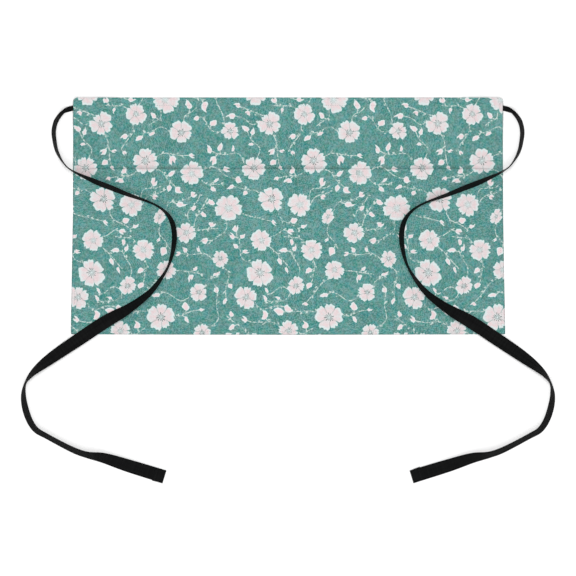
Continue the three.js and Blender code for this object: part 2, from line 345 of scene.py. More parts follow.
def tape_points(side):
    """Points of a tie's middle surface, a row for each place along it."""
    run, reach, lift = tape_rows()
    askew = HEM_SKEW[side] * np.where(lift > END_TURN, tie_length - run, 0) / END_HEM
    out, y, tilt, pleat = (np.interp(run, course_run, column) for column in course.T)
    behind, before = run - LOOK_AHEAD, run + LOOK_AHEAD
    ahead = np.array([np.interp(before, course_run, column) - np.interp(behind, course_run, column)
                      for column in course[:, :2].T])
    heading_out, heading_y = ahead / np.hypot(*ahead)
    across, up, heading = tape_section(np.clip(tilt, 0, UPRIGHT), np.clip(pleat, 0, TIE_COURSE[0][3]))
    shift = across + askew[:, None] - lift[:, None] * np.sin(heading)
    place_out = (out + reach * heading_out)[:, None] + heading_y[:, None] * shift
    place_y = (y + reach * heading_y)[:, None] - heading_out[:, None] * shift
    under = up - TAPE / 2 * np.abs(np.cos(heading))
    top = top_of_apron(place_out, place_y)
    lifts = np.where(top > 0, top + CLOTH_GAP - under, TABLE_GAP)
    needed = np.where(run < LOOP_LENGTH, TABLE_GAP, np.maximum(TABLE_GAP, lifts.max(axis=1)))
    place_z = eased(run, needed)[:, None] + up + lift[:, None] * np.cos(heading)
    return np.stack([side * place_out, place_y, place_z], axis=2)


print("each tie has", len(tape_rows()[0]), "rows of", TAPE_COLUMNS + 1, "points")

# %% Lay the ties
SMOOTH_BELOW = math.radians(50)


def thicken(sheet, thickness):
    """Gives a sheet its thickness, the same on both sides of it, and a material slot for each side."""
    sheet.data.materials.append(None)
    sheet.data.materials.append(None)
    solid = sheet.modifiers.new("thickness", "SOLIDIFY")
    solid.thickness = thickness
    solid.offset = 0
    solid.material_offset = 1
    bpy.ops.object.modifier_apply(modifier=solid.name)
    bpy.ops.object.shade_smooth_by_angle(angle=SMOOTH_BELOW)


def lay_tie(name, side):
    """One tie as a grid of tape rows; returns it with its middle line and a line across its turned end."""
    points = tape_points(side)
    bpy.ops.mesh.primitive_grid_add(x_subdivisions=TAPE_COLUMNS, y_subdivisions=len(points) - 1, size=1)
    tape = bpy.context.object
    tape.name = tape.data.name = name
    tape.data.vertices.foreach_set("co", points.ravel())
    tape.data.update()
    thicken(tape, TAPE)
    middle = points[:len(points) - TURN_ROWS - HEM_ROWS, TAPE_COLUMNS // 2]
    return tape, [tuple(float(c) for c in point) for point in middle], points[-2] + (0, 0, TAPE / 2)


tie_left, left_line, left_hem = lay_tie("tape_left", -1)
tie_right, right_line, right_hem = lay_tie("tape_right", 1)
tie_top = max(point[2] for point in left_line)
print(f"ties of {len(tie_left.data.polygons)} faces each, up to {1000 * tie_top:.0f} mm high")

# %% [markdown]
# ## The panel
# The panel is one cloth whose four edges are turned under and stitched. Thickness alone would leave a cut
# edge that looks like card. So the sheet starts as a grid laid in the panel's outline, and its open edge is
# extruded again and again: round a tight bend, then back under the cloth. The new points know where on the
# edge they started, because a named attribute is copied with every extrusion. At the corners the turned
# strips meet in a mitre, since each point goes straight to the nearest place on an inner rectangle.

# %% Turn the edges of a cloth under
EDGE = (LAYER + CLOTH) / 2
BEND_STEPS = 4
STRIP_SHARES = (0.35, 0.7, 1.0)
MERGE = 0.00001


def open_edge_out(sheet):
    """Extrudes the sheet's open edge in place and returns which points are new."""
    bpy.ops.object.mode_set(mode="EDIT")
    bpy.ops.mesh.select_mode(type="EDGE")
    bpy.ops.mesh.select_all(action="DESELECT")
    bpy.ops.mesh.select_non_manifold(extend=False, use_wire=False, use_boundary=True, use_multi_face=False,
                                     use_non_contiguous=False, use_verts=False)
    bpy.ops.mesh.extrude_edges_move()
    bpy.ops.object.mode_set(mode="OBJECT")
    new = np.zeros(len(sheet.data.vertices), bool)
    sheet.data.vertices.foreach_get("select", new)
    return new


def points_of(sheet, name="position"):
    values = np.empty((len(sheet.data.vertices), 3))
    sheet.data.attributes[name].data.foreach_get("vector", values.ravel())
    return values


def turn_under(sheet, height, inner):
    """Folds the open edge under the sheet as far as the inner rectangle."""
    home = sheet.data.attributes.new("home", "FLOAT_VECTOR", "POINT")
    home.data.foreach_set("vector", points_of(sheet).ravel())
    bend = [(angle, 0.0) for angle in np.linspace(0, np.pi, BEND_STEPS + 1)[1:]]
    strip = [(np.pi, share) for share in STRIP_SHARES]
    for angle, share in bend + strip:
        new = open_edge_out(sheet)
        points, homes = points_of(sheet), points_of(sheet, "home")
        x, y, z = homes[new].T
        to_x, to_y = inner(x, y)
        length = np.hypot(to_x - x, to_y - y)
        out_x, out_y = (x - to_x) / length, (y - to_y) / length
        bulge = LAYER / 2 * np.sin(angle)
        place_x = x + share * (to_x - x) + bulge * out_x
        place_y = y + share * (to_y - y) + bulge * out_y
        level = z if share == 0 else height(place_x, place_y)
        points[new] = np.stack([place_x, place_y, level - LAYER / 2 * (1 - np.cos(angle))], axis=1)
        sheet.data.vertices.foreach_set("co", points.ravel())
    sheet.data.attributes.remove(sheet.data.attributes["home"])
    bpy.ops.object.mode_set(mode="EDIT")
    bpy.ops.mesh.select_all(action="SELECT")
    bpy.ops.mesh.remove_doubles(threshold=MERGE)
    bpy.ops.object.mode_set(mode="OBJECT")


def inside(side, foot, top):
    """The inner rectangle that the turned strips reach, as a function of places on the edge."""
    def inner(x, y):
        reach = half_width(np.clip(y, lower_edge(x) + foot, top)) - side
        to_x = np.clip(x, -reach, reach)
        return to_x, np.clip(y, lower_edge(to_x) + foot, top)
    return inner


def lay_cloth(name, columns, rows, place, height, inner):
    """A cloth with turned edges; place gives x and y from shares of its width and height."""
    bpy.ops.mesh.primitive_grid_add(x_subdivisions=columns, y_subdivisions=rows, size=2)
    sheet = bpy.context.object
    sheet.name = sheet.data.name = name
    across, up, _ = points_of(sheet).T
    x, y = place(across, (up + 1) / 2)
    sheet.data.vertices.foreach_set("co", np.stack([x, y, height(x, y)], axis=1).ravel())
    sheet.data.update()
    turn_under(sheet, height, inner)
    thicken(sheet, CLOTH)
    return sheet


print(f"a turned edge bulges {1000 * EDGE:.2f} mm past the last row of the grid")

# %% Cut and lay the panel
CLOTH_STEP = 0.0024
PANEL_COLUMNS = round(2 * HALF_WIDTHS[0] / CLOTH_STEP)
PANEL_ROWS = round(2 * WAIST_Y / CLOTH_STEP)


def place_on_panel(across, up):
    level = WAIST_Y * (2 * up - 1)
    x = across * (half_width(level) - corner_inset(level) - EDGE)
    foot = lower_edge(x) + EDGE
    return x, foot + up * (WAIST_Y - EDGE - foot)


panel = lay_cloth("printed_panel", PANEL_COLUMNS, PANEL_ROWS, place_on_panel, panel_height,
                  inside(HEM, HEM, WAIST_Y - HEM))
print(f"panel of {len(panel.data.polygons)} faces")

# %% [markdown]
# ## The pocket
# The pocket is a second cloth on the lower part of the panel. Its mouth has a wide hem, its other edges are
# turned in and sewn down, and two seams divide it. It stands a few millimetres open, as a pocket does that
# is in use. It is made in the same way as the panel, with its own outline, heights and hem widths.

# %% Cut and lay the pocket
POCKET_ROWS = round((MOUTH_Y + WAIST_Y) / CLOTH_STEP)


def place_on_pocket(across, up):
    level = -WAIST_Y + up * (MOUTH_Y + WAIST_Y)
    x = across * (half_width(level) - POCKET_INSET - EDGE)
    foot = lower_edge(x) + POCKET_INSET + EDGE
    return x, foot + up * (MOUTH_Y - EDGE - foot)


pocket = lay_cloth("printed_pocket", PANEL_COLUMNS, POCKET_ROWS, place_on_pocket, pocket_height,
                   inside(TURNED_IN, TURNED_IN, MOUTH_Y - HEM))
print(f"pocket of {len(pocket.data.polygons)} faces")

# %% [markdown]
# ## The stitching
# Hems, seams and the turned tape ends are held by rows of short stitches, in thread of nearly the cloth's
# own colour and in black on the tape. A bump pattern would vanish at the edges of a close view, so each
# stitch is a small bead of thread. One stitch is modelled from a sphere whose ends sink into the cloth, and
# copies of its points are set along each seam and joined into one mesh for each cloth and tape.

# %% Model one stitch
STITCH_LENGTH = 0.0023
STITCH_PITCH = 0.0029
THREAD = 0.00042
THREAD_FLATNESS = 0.75
STITCH_SINK = 0.00018

bpy.ops.mesh.primitive_uv_sphere_add(segments=6, ring_count=5, radius=0.5, rotation=(0, math.pi / 2, 0))
stitch = bpy.context.object
bpy.ops.object.transform_apply(rotation=True)
stitch_points = points_of(stitch) * (STITCH_LENGTH, THREAD, THREAD_FLATNESS * THREAD)
stitch_points[:, 2] -= STITCH_SINK * (2 * stitch_points[:, 0] / STITCH_LENGTH) ** 2
stitch_faces = [tuple(face.vertices) for face in stitch.data.polygons]
bpy.data.objects.remove(stitch)
print(f"one stitch has {len(stitch_points)} points and {len(stitch_faces)} faces")

# %% Sew rows of stitches


def stitch_ends(line):
    """Both ends of each stitch along a line of points."""
    run = np.concatenate([[0], np.cumsum(np.linalg.norm(np.diff(line, axis=0), axis=1))])
    middles = np.arange(STITCH_PITCH / 2, run[-1], STITCH_PITCH)
    return [np.column_stack([np.interp(middles + shift, run, column) for column in line.T])
            for shift in (-STITCH_LENGTH / 2, STITCH_LENGTH / 2)]


def seam(x, y, surface):
    """Both ends of each stitch along a drawn line, on a surface."""
    line = np.column_stack(np.broadcast_arrays(np.asarray(x, float), np.asarray(y, float)))
    return [np.column_stack([end, surface(*end.T)]) for end in stitch_ends(line)]


def sew(name, seams, face=1):
    """Joins a stitch for each pair of ends; face is 1 on the upper side and -1 on the lower one."""
    starts, stops = (np.vstack(ends) for ends in zip(*seams))
    ahead = stops - starts
    ahead /= np.linalg.norm(ahead, axis=1, keepdims=True)
    beside = np.cross((0, 0, face), ahead)
    beside /= np.linalg.norm(beside, axis=1, keepdims=True)
    out = np.cross(ahead, beside)
    axes = np.stack([ahead, beside, out], axis=1)
    points = (starts + stops)[:, None] / 2 + stitch_points @ axes
    offsets = len(stitch_points) * np.arange(len(starts))
    faces = [tuple(offset + corner for corner in corners) for offset in offsets for corners in stitch_faces]
    mesh = bpy.data.meshes.new(name)
    mesh.from_pydata(points.reshape(-1, 3).tolist(), [], faces)
    mesh.shade_smooth()
    thread = bpy.data.objects.new(name, mesh)
    bpy.context.collection.objects.link(thread)
    return thread


print(f"a stitch for every {1000 * STITCH_PITCH:.1f} mm of seam")

# %% Sew the panel, the pocket and the tie ends
SIDE_STITCH = 0.004
TWIN_GAP = 0.0022
MOUTH_END = 0.002
BAR_TACK = 0.006
BAR_TACK_DROPS = np.arange(MOUTH_END, 0.008, 0.0007)
SEAM_POINTS = 200


def panel_face(x, y):
    return panel_height(x, y) + CLOTH / 2


def pocket_face(x, y):
    return pocket_height(x, y) + CLOTH / 2


def panel_back(x, y):
    hem = from_edge(x, y, WAIST_Y) < HEM
    return panel_height(x, y) - np.where(hem, LAYER, 0) - CLOTH / 2


def divider(y, side):
    return side * seam_pitch(y) / 2


across_waist = np.linspace(-1, 1, SEAM_POINTS) * (HALF_WIDTHS[2] - HEM_STITCH)
across_pocket = np.linspace(-1, 1, SEAM_POINTS) * (HALF_WIDTHS[0] - SIDE_STITCH)
up_panel = np.linspace(MOUTH_Y + MOUTH_END, WAIST_Y - HEM_STITCH, SEAM_POINTS)
up_pocket = np.linspace(-WAIST_Y + SIDE_STITCH, MOUTH_Y - MOUTH_END, SEAM_POINTS)
up_back = np.linspace(-WAIST_Y + SIDE_STITCH, WAIST_Y - HEM_STITCH, SEAM_POINTS)

panel_seams = [seam(across_waist, WAIST_Y - HEM_STITCH, panel_face)]
back_seams = [seam(across_waist, WAIST_Y - HEM_STITCH, panel_back),
              seam(across_pocket, lower_edge(across_pocket) + SIDE_STITCH, panel_back)]
pocket_seams = [seam(across_pocket, MOUTH_Y - HEM_STITCH, pocket_face),
                seam(across_pocket, lower_edge(across_pocket) + SIDE_STITCH, pocket_face)]
for side in (-1, 1):
    panel_seams.append(seam(side * (half_width(up_panel) - HEM_STITCH), up_panel, panel_face))
    back_seams.append(seam(side * (half_width(up_back) - SIDE_STITCH), up_back, panel_back))
    pocket_seams.append(seam(side * (half_width(up_pocket) - SIDE_STITCH), up_pocket, pocket_face))
    for twin in (-TWIN_GAP / 2, TWIN_GAP / 2):
        pocket_seams.append(seam(divider(up_pocket, side) + twin, up_pocket, pocket_face))
        back_seams.append(seam(divider(up_pocket, side) + twin, up_pocket, panel_back))
    for drop in BAR_TACK_DROPS:
        bar = np.array([-BAR_TACK / 2, BAR_TACK / 2]) + divider(MOUTH_Y, side)
        pocket_seams.append(seam(bar, MOUTH_Y - drop, pocket_face))
panel_thread = sew("panel_stitches", panel_seams)
back_thread = sew("back_stitches", back_seams, face=-1)
pocket_thread = sew("pocket_stitches", pocket_seams)
left_thread = sew("tie_stitches_left", [stitch_ends(left_hem)])
right_thread = sew("tie_stitches_right", [stitch_ends(right_hem)])
sewn = (panel_thread, back_thread, pocket_thread, left_thread, right_thread)
print("stitches:", {thread.name: len(thread.data.polygons) // len(stitch_faces) for thread in sewn})

# %% [markdown]
# ## Where the print lies
# The cloth is printed with pale blossoms, and with vines that carry leaves and buds, on a mottled ground.
# The motifs could be scattered by a random texture, but a printer's layout has even gaps, and leaves that
# grow on vines. So one repeat of the print is laid out here by rule. Each blossom takes the emptiest of
# several places, vines grow from the blossoms where there is room, and leaves grow along the vines where
# they touch nothing.

# %% Set out the blossoms of one repeat
REPEAT = np.array([0.214, 0.322])
TRIES = 40
BLOSSOMS = 25
BLOSSOM_RADII = (0.0108, 0.0192)
SIDE_VIEWS = 0.16
SIDE_VIEW_HEIGHTS = (0.66, 0.8)
dice = np.random.default_rng(31)


def the_short_way(offset):
    """The same offset taken the short way round the repeat."""
    return (offset + REPEAT / 2) % REPEAT - REPEAT / 2


def clearance(places, taken):
    """Distance from each place to the nearest taken one."""
    if len(taken) == 0:
        return np.full(len(places), np.inf)
    return np.linalg.norm(the_short_way(places[:, None] - np.asarray(taken)[None]), axis=2).min(axis=1)


blossom_places = []
for _ in range(BLOSSOMS):
    tries = dice.random((TRIES, 2)) * REPEAT
    blossom_places.append(tries[clearance(tries, blossom_places).argmax()])
blossom_places = np.array(blossom_places)
blossom_turns = dice.uniform(0, 2 * np.pi, BLOSSOMS)
blossom_radii = dice.uniform(*BLOSSOM_RADII, BLOSSOMS)
from_side = dice.random(BLOSSOMS) < SIDE_VIEWS
blossom_views = np.where(from_side, dice.uniform(*SIDE_VIEW_HEIGHTS, BLOSSOMS), 1.0)
blossoms = np.column_stack([blossom_places, blossom_turns, blossom_radii, blossom_views])
others = [np.delete(blossom_places, number, axis=0) for number in range(BLOSSOMS)]
spacing = min(clearance(place[None], rest)[0] for place, rest in zip(blossom_places, others))
print(f"{BLOSSOMS} blossoms, the closest two {1000 * spacing:.0f} mm apart")

# %% Grow the vines
VINES_PER_BLOSSOM = 3
VINE_LENGTHS = (0.020, 0.042)
VINE_LEAN = 0.6
VINE_BOW = 0.2
VINE_SWAY = 0.5
VINE_START = 0.85
VINE_ROOM = 0.0065
ROOM_ENOUGH = 0.012
LENGTH_COUNTS = 0.1
VINE_SHARES = np.linspace(0, 1, 9)
# The first beads of a vine may lie on its own blossom and near the vines that leave it.
OFF_BLOSSOM, OFF_VINES = 3, 2


def toward(angle):
    return np.array([math.cos(angle), math.sin(angle)])


def vine_aside(bow, share):
    """How far a vine bends off the straight line between its ends."""
    return bow * (4 * share * (1 - share) + VINE_SWAY * np.sin(2 * np.pi * share))


def along_vine(vine, shares):
    """Places along a bowed and swaying vine, and its heading there."""
    x, y, heading, length, bow = vine
    run, aside = shares * length, vine_aside(bow, shares)
    slope = bow * (4 - 8 * shares + VINE_SWAY * 2 * np.pi * np.cos(2 * np.pi * shares)) / length
    place = np.stack([x + run * math.cos(heading) - aside * math.sin(heading),
                      y + run * math.sin(heading) + aside * math.cos(heading)], axis=-1)
    return place, heading + np.arctan(slope)


def room_from_blossoms(places):
    offsets = the_short_way(places[:, None] - blossom_places[None])
    return (np.linalg.norm(offsets, axis=2) - blossom_radii).min(axis=1)


def try_vine(place, radius, taken):
    """Worth and room of a vine that leaves a blossom by a drawn heading, and the vine."""
    leave, lean = dice.uniform(0, 2 * np.pi), dice.uniform(-VINE_LEAN, VINE_LEAN)
    length, bow = dice.uniform(*VINE_LENGTHS), dice.uniform(-VINE_BOW, VINE_BOW)
    vine = np.array([*(place + VINE_START * radius * toward(leave)), leave + lean, length, bow * length])
    beads, _ = along_vine(vine, VINE_SHARES)
    room = min(room_from_blossoms(beads[OFF_BLOSSOM:]).min(), clearance(beads[OFF_VINES:], taken).min())
    return min(room, ROOM_ENOUGH) + LENGTH_COUNTS * length, room, vine


vines, vine_beads = [], []
for _ in range(VINES_PER_BLOSSOM):
    for place, radius in zip(blossom_places, blossom_radii):
        tried = [try_vine(place, radius, vine_beads) for _ in range(TRIES)]
        _, room, vine = max(tried, key=lambda row: row[0])
        if room > VINE_ROOM:
            vines.append(vine)
            vine_beads.extend(along_vine(vine, VINE_SHARES)[0])
vines = np.array(vines)
vine_beads = np.array(vine_beads).reshape(len(vines), -1, 2)
print(f"{len(vines)} vines")

# %% Grow the leaves
# Share of the vine, side of it and spread from it, in radians, of each leaf that a vine may carry.
LEAF_PLACES = ((1.0, 0, 0.0), (0.92, 1, 1.0), (0.84, -1, 1.0), (0.55, 1, 0.9), (0.42, -1, 0.9))
LEAF_TURN = 0.2
LEAF_LENGTHS = (0.0068, 0.0136)
LEAF_WIDTHS = (0.30, 0.52)
STALK = 0.42
LEAF_ROOM = 0.0080
ROOM_TO_BLOSSOM = 0.0020
ROOM_TO_VINE = 0.0035
LEAF_SHARES = np.array([0.25, 0.6, 1.0])

leaves, taken_by_leaves, carriers = [], [], set()
for share, side, spread in LEAF_PLACES:
    for number, vine in enumerate(vines):
        place, heading = along_vine(vine, np.float64(share))
        turn = heading + side * spread + dice.uniform(-LEAF_TURN, LEAF_TURN)
        length, width = dice.uniform(*LEAF_LENGTHS), dice.uniform(*LEAF_WIDTHS)
        base = place + STALK * length * toward(turn)
        beads = base + length * LEAF_SHARES[:, None] * toward(turn)
        other_vines = np.delete(vine_beads, number, axis=0).reshape(-1, 2)
        rooms = ((room_from_blossoms(beads), ROOM_TO_BLOSSOM),
                 (clearance(beads, other_vines), ROOM_TO_VINE),
                 (clearance(beads, taken_by_leaves), LEAF_ROOM))
        if all(room.min() > needed for room, needed in rooms):
            leaves.append(np.array([*base, turn, length, width]))
            taken_by_leaves.extend(beads)
            carriers.add(number)
leaves = np.array(leaves)
vines = vines[sorted(carriers)]
print(f"{len(leaves)} leaves and buds on {len(vines)} vines")

# %% [markdown]
# ## Telling each face of the cloth what is printed on it
# A shader can draw a blossom from its middle, turn and size, but it would have to try every motif at every
# point. The mesh can help: each small face of the cloth gets, as named attributes, the blossom, the two
# leaves and the two vines that lie nearest to it. The shader then draws just those, as sharply as it likes,
# and panel and pocket carry the print on without a break, because both ask for the same places.

# %% Write the nearest motifs on the faces


def offsets_from(places, motifs):
    """From each motif to each place, the short way round, and the same in the motif's own heading."""
    offset = the_short_way(places[:, None] - motifs[None, :, :2])
    cosine, sine = np.cos(motifs[:, 2]), np.sin(motifs[:, 2])
    along = offset[..., 0] * cosine + offset[..., 1] * sine
    aside = offset[..., 1] * cosine - offset[..., 0] * sine
    return offset, along, aside


def write_on_faces(mesh, name, *columns):
    attribute = mesh.attributes.new(name, "FLOAT_VECTOR", "FACE")
    attribute.data.foreach_set("vector", np.column_stack(columns).astype(np.float32).ravel())


def chart(sheet, name, places, motifs, distance, offset, count):
    """Writes where the nearest motifs lie and their form, for each face."""
    for rank, chosen in enumerate(np.argsort(distance, axis=1)[:, :count].T):
        middle = places - offset[np.arange(len(places)), chosen]
        write_on_faces(sheet.data, f"{name}_place_{rank}", middle, motifs[chosen, 2])
        write_on_faces(sheet.data, f"{name}_form_{rank}", motifs[chosen, 3:], chosen)


def chart_print(sheet):
    """Charts the print on a cloth and returns the number of its faces."""
    middles = np.empty((len(sheet.data.polygons), 3))
    sheet.data.polygons.foreach_get("center", middles.ravel())
    places = middles[:, :2]
    offset, _, _ = offsets_from(places, blossoms)
    chart(sheet, "blossom", places, blossoms, np.linalg.norm(offset, axis=2) - blossom_radii, offset, 1)
    offset, along, aside = offsets_from(places, leaves)
    length = leaves[:, 3]
    past = along - np.clip(along, -STALK * length, length)
    chart(sheet, "leaf", places, leaves, np.hypot(past, aside), offset, 2)
    offset, along, aside = offsets_from(places, vines)
    share = np.clip(along / vines[:, 3], 0, 1)
    past = along - share * vines[:, 3]
    chart(sheet, "vine", places, vines, np.hypot(past, aside - vine_aside(vines[:, 4], share)), offset, 2)
    return len(places)


print("faces charted:", [chart_print(sheet) for sheet in (panel, pocket)])

# %% [markdown]
# ## Shader arithmetic
# The print and the weave are formulas. Laying and linking every Math node by hand takes many lines, so a
# small helper stands for one output socket: adding, multiplying or comparing such wires lays the node that
# does it.

# %% Wires


def lay(tree, kind, inputs=None, output=0, **settings):
    """Adds a node, feeds its inputs with wires or plain values, and returns one of its outputs."""
    node = tree.nodes.new(kind)
    for name, value in settings.items():
        setattr(node, name, value)
    for slot, value in (inputs or {}).items():
        if isinstance(value, Wire):
            tree.links.new(value.socket, node.inputs[slot])
        else:
            node.inputs[slot].default_value = value
    return Wire(node.outputs[output])


class Wire:
    """An output socket of a shader node, on which arithmetic lays further nodes."""

    def __init__(self, socket):
        self.socket = socket
        self.tree = socket.id_data

    def math(self, operation, *others):
        return lay(self.tree, "ShaderNodeMath", dict(enumerate((self, *others))), operation=operation)

    def __add__(self, other):
        return self.math("ADD", other)

    def __sub__(self, other):
        return self.math("SUBTRACT", other)

    def __rsub__(self, other):
        return lay(self.tree, "ShaderNodeMath", {0: other, 1: self}, operation="SUBTRACT")

    def __mul__(self, other):
        return self.math("MULTIPLY", other)

    def __truediv__(self, other):
        return self.math("DIVIDE", other)

    def __pow__(self, other):
        return self.math("POWER", other)

    def within(self, low, high):
        return self.math("MAXIMUM", low).math("MINIMUM", high)

    def fade(self, low, high):
        """0 at low, 1 at high, with an even S between; low may be the greater one."""
        inputs = {0: self, 1: low, 2: high}
        return lay(self.tree, "ShaderNodeMapRange", inputs, interpolation_type="SMOOTHSTEP")

    def parts(self):
        node = lay(self.tree, "ShaderNodeSeparateXYZ", {0: self}).socket.node
        return [Wire(socket) for socket in node.outputs]

    def vector(self, operation, other):
        return lay(self.tree, "ShaderNodeVectorMath", {0: self, 1: other}, operation=operation)

    def turned(self, angle):
        """The vector turned about the cloth's upright by minus an angle."""
        inputs = {"Vector": self, "Angle": angle * -1}
        return lay(self.tree, "ShaderNodeVectorRotate", inputs, rotation_type="Z_AXIS")

    def noise(self, scale, detail=2.0, output="Fac"):
        inputs = {"Vector": self, "Scale": scale, "Detail": detail}
        return lay(self.tree, "ShaderNodeTexNoise", inputs, output, noise_dimensions="2D")


def blend(share, first, second):
    """A colour between two, by a wire from 0 to 1."""
    inputs = {0: share, 6: first, 7: second}
    return lay(share.tree, "ShaderNodeMix", inputs, 2, data_type="RGBA")


def new_group(name, inputs, outputs):
    """A node group; returns it, its input wires and its output node."""
    tree = bpy.data.node_groups.new(name, "ShaderNodeTree")
    for title, kind in inputs.items():
        tree.interface.new_socket(title, in_out="INPUT", socket_type=kind)
    for title, kind in outputs.items():
        tree.interface.new_socket(title, in_out="OUTPUT", socket_type=kind)
    start = tree.nodes.new("NodeGroupInput")
    return tree, [Wire(start.outputs[title]) for title in inputs], tree.nodes.new("NodeGroupOutput")


def put_out(end, **wires):
    for title, wire in wires.items():
        end.id_data.links.new(wire.socket, end.inputs[title])


def use_group(tree, group, outputs, **inputs):
    node = lay(tree, "ShaderNodeGroup", inputs, node_tree=group).socket.node
    return [Wire(node.outputs[title]) for title in outputs]


print("wires can", ", ".join(name for name in vars(Wire) if not name.startswith("_")))

# %% [markdown]
# ## Woven threads
# Cloth and tape are both plain weaves, at different pitches. The weave could be a bitmap, but two sine
# waves do it: on a chequer of crossings the thread that lies on top is once the one along and once the one
# across. The group gives the height for a bump, and a shade that varies slowly along single threads.

# %% The weave group
CROWN = 0.45
STREAK_ACROSS, STREAK_ALONG = 0.45, 0.02

weave, (point, pitch), weave_end = new_group(
    "woven_threads", {"Point": "NodeSocketVector", "Pitch": "NodeSocketFloat"},
    {"Height": "NodeSocketFloat", "Shade": "NodeSocketFloat"})
across, along, _ = point.parts()
u, v = across / pitch, along / pitch
ridge_u, ridge_v = ((thread * math.pi).math("SINE").math("ABSOLUTE") for thread in (u, v))
on_top = (u.math("FLOOR") + v.math("FLOOR")).math("PINGPONG", 1.0)
warp, weft = ridge_u * (ridge_v * CROWN + (1 - CROWN)), ridge_v * (ridge_u * CROWN + (1 - CROWN))
height = warp * on_top + weft * (1 - on_top)
streak_u = lay(weave, "ShaderNodeCombineXYZ", {0: u * STREAK_ACROSS, 1: v * STREAK_ALONG})
streak_v = lay(weave, "ShaderNodeCombineXYZ", {0: u * STREAK_ALONG, 1: v * STREAK_ACROSS})
put_out(weave_end, Height=height, Shade=(streak_u.noise(1.0) + streak_v.noise(1.0)) * 0.5)
print("weave group of", len(weave.nodes), "nodes")

# %% [markdown]
# ## The print
# Each motif is drawn in its own frame, from the numbers that the face carries. A blossom is five uneven
# lobes with small teeth on the rim, pale at the rim and pink inside, with fine lines between the petals and
# short stamens, stronger in one blossom than in the next. A leaf is a bent drop on a stalk, with uneven
# halves, teeth and here and there a split. A vine is a bowed line with twigs, which the ink doesn't cover
# everywhere. A little noise is added to the place before anything is drawn, so that no edge is cleaner than
# a printed one. Plain numbers in these drawings are shares of a motif's own size, or rates along it.

# %% Inks
LIGHT_LEVEL = 1.34


def ink(*screen):
    """A colour as a screen shows it in this light, 0 to 255, in the linear values that shaders use."""
    shares = [value / 255 for value in screen]
    linear = [c / 12.92 if c <= 0.04045 else ((c + 0.055) / 1.055) ** 2.4 for c in shares]
    return (*(value / LIGHT_LEVEL for value in linear), 1.0)


GROUND_DARK = ink(64, 130, 124)
GROUND_LIGHT = ink(121, 176, 171)
FLECK = ink(150, 154, 154)
PETAL = ink(246, 224, 226)
PETAL_RIM = ink(233, 246, 246)
PETAL_LINE = ink(140, 172, 166)
STAMEN = ink(74, 96, 92)
VINE_INK = ink(214, 231, 225)
print("green of the ground from", round(GROUND_DARK[1], 3), "to", round(GROUND_LIGHT[1], 3))

# %% Draw a blossom
TURN = 2 * math.pi
PETALS = 5
STAMENS = 13


def motif_frame(point, kind, rank):
    """Where a point lies along and aside in the frame of its face's motif, and the motif's numbers."""
    place, form = (lay(point.tree, "ShaderNodeAttribute", output="Vector", attribute_name=name)
                   for name in (f"{kind}_place_{rank}", f"{kind}_form_{rank}"))
    _, _, heading = place.parts()
    along, aside, _ = point.vector("SUBTRACT", place).turned(heading).parts()
    return along, aside, *form.parts()


def chances(first, second):
    """Three values from 0 to 1 drawn for a pair of numbers."""
    pair = lay(first.tree, "ShaderNodeCombineXYZ", {0: first, 1: second})
    drawn = lay(first.tree, "ShaderNodeTexWhiteNoise", {"Vector": pair}, "Color", noise_dimensions="2D")
    return drawn.parts()


def draw_blossom(point):
    """Masks of a blossom: all of it, its pink, its petal lines and its stamens."""
    x, y, radius, view, number = motif_frame(point, "blossom", 0)
    y = y / view
    out = (x * x + y * y).math("SQRT") / radius
    angle = y.math("ARCTAN2", x)
    uneven = (angle * 2 + number).math("SINE") * 0.15 + (angle - number).math("SINE") * 0.12
    sector = (angle + uneven) * (PETALS / TURN) + 2 * PETALS
    petal = sector.math("FLOOR")
    aside = sector - petal - 0.5
    lobe = aside.math("ABSOLUTE") * 2
    vary, shift, _ = chances(petal, number)
    teeth = (aside * (6.6 * math.pi) + shift * 2).math("COSINE") * 0.032
    dent = (aside - shift * 0.2 + 0.1).math("ABSOLUTE").fade(0.12, 0.0) * 0.06
    rim = teeth - dent + (vary * 0.22 + 0.83)
    notch = (lobe ** 6.0) * (shift * 0.24 + 0.18)
    edge = rim - notch
    whole = out.fade(edge + 0.02, edge - 0.03)
    pink = (rim - notch * 0.4 - out).fade(0.08, 0.26) * out.fade(0.05, 0.4)
    between = (lobe * -0.5 + 0.5) * out * (TURN / PETALS)
    line = between.fade(0.04, 0.012) * out.fade(0.25, 0.4)
    spoke = angle * (STAMENS / TURN)
    off_spoke = ((spoke + shift).math("FRACT") - 0.5).math("ABSOLUTE")
    reach = (petal + number * 0.31 + spoke.math("FLOOR") * 0.37).math("FRACT") * 0.16 + 0.22
    stamens = off_spoke.fade(0.25, 0.15) * out.fade(0.03, 0.08) * out.fade(reach + 0.03, reach - 0.02)
    strength = lay(point.tree, "ShaderNodeTexWhiteNoise", {"W": number + 0.5}, noise_dimensions="1D")
    mark = strength * 0.75 + 0.4
    return whole, pink, line * mark, stamens * mark


print("a blossom has", PETALS, "petals and", STAMENS, "stamens")

# %% Draw a leaf


